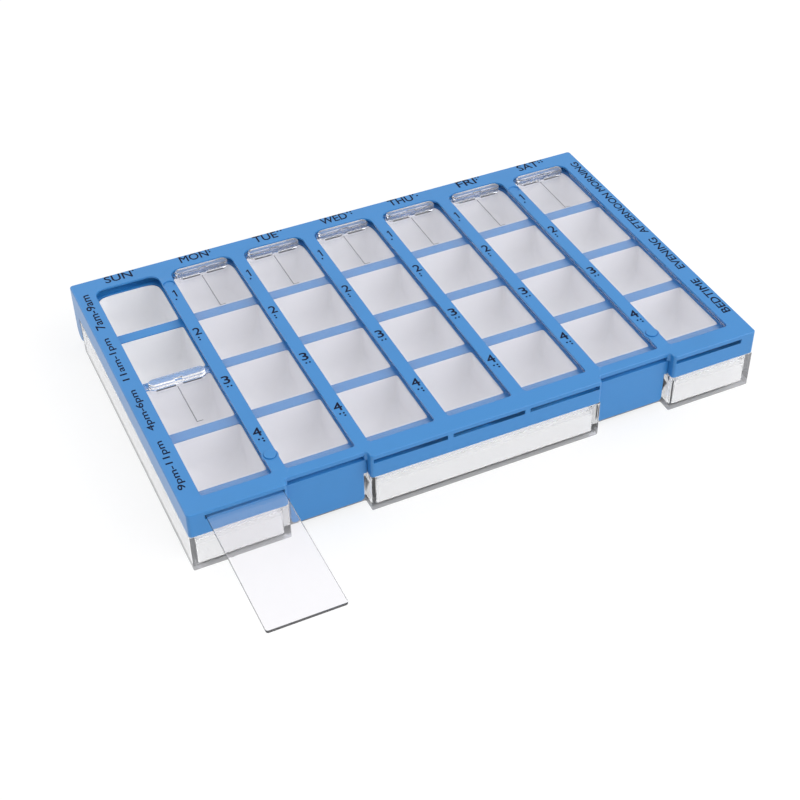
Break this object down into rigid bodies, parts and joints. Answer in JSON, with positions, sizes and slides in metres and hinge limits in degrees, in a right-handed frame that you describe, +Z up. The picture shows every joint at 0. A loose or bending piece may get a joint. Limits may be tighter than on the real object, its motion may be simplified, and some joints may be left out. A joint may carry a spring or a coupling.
{
  "type": "pill organizer",
  "caption": "Flat hinged weekly pill case: a tray of rounded cups in a clear base, under a cover frame with one long clear lid per day that slides forward over its cups.",
  "frame": {"origin": "centre of the closed case's underside", "axes": "+X from the first day to the last, +Y from the front edge to the hinge, +Z up"},
  "size_m": [0.215, 0.1868, 0.0252],
  "materials": {
    "clear_plastic": "clear moulded plastic with a faint blue cast, polished",
    "white_plastic": "white moulded plastic, satin gloss",
    "blue_plastic": "opaque mid-blue moulded plastic, satin gloss",
    "clear_lid": "clear moulded plastic, glossy"
  },
  "bodies": {
    "base": {"base_shell": "clear_plastic", "compartment_tray": "white_plastic"},
    "cover": {"cover_frame": "blue_plastic", "guide_grid": "blue_plastic", "snap_studs_front": "blue_plastic", "snap_studs_rear": "blue_plastic"},
    "lid_sun": {"sliding_lid_sun": "clear_lid"},
    "lid_mon": {"sliding_lid_mon": "clear_lid"},
    "lid_tue": {"sliding_lid_tue": "clear_lid"},
    "lid_wed": {"sliding_lid_wed": "clear_lid"},
    "lid_thu": {"sliding_lid_thu": "clear_lid"},
    "lid_fri": {"sliding_lid_fri": "clear_lid"},
    "lid_sat": {"sliding_lid_sat": "clear_lid"},
    "latch_left": {"latch_tab_left": "blue_plastic"},
    "latch_right": {"latch_tab_right": "blue_plastic"}
  },
  "joints": [
    {"name": "cover_hinge", "type": "hinge", "parent": "base", "child": "cover", "pos_m": [0, 0.0629, 0.0063], "axis": [-1, 0, 0], "range_deg": [0, 95]},
    {"name": "lid_sun_slide", "type": "slide", "parent": "cover", "child": "lid_sun", "axis": [0, -1, 0], "range_m": [-0.0578, 0.0572]},
    {"name": "lid_mon_slide", "type": "slide", "parent": "cover", "child": "lid_mon", "axis": [0, -1, 0], "range_m": [0, 0.115]},
    {"name": "lid_tue_slide", "type": "slide", "parent": "cover", "child": "lid_tue", "axis": [0, -1, 0], "range_m": [0, 0.115]},
    {"name": "lid_wed_slide", "type": "slide", "parent": "cover", "child": "lid_wed", "axis": [0, -1, 0], "range_m": [0, 0.115]},
    {"name": "lid_thu_slide", "type": "slide", "parent": "cover", "child": "lid_thu", "axis": [0, -1, 0], "range_m": [0, 0.115]},
    {"name": "lid_fri_slide", "type": "slide", "parent": "cover", "child": "lid_fri", "axis": [0, -1, 0], "range_m": [0, 0.115]},
    {"name": "lid_sat_slide", "type": "slide", "parent": "cover", "child": "lid_sat", "axis": [0, -1, 0], "range_m": [0, 0.115]},
    {"name": "latch_left_flex", "type": "hinge", "parent": "cover", "child": "latch_left", "pos_m": [-0.0586, -0.0625, 0.0211], "axis": [-1, 0, 0], "range_deg": [0, 4], "stiffness_Nm_per_rad": 0.05},
    {"name": "latch_right_flex", "type": "hinge", "parent": "cover", "child": "latch_right", "pos_m": [0.0586, -0.0625, 0.0211], "axis": [-1, 0, 0], "range_deg": [0, 4], "stiffness_Nm_per_rad": 0.05}
  ]
}
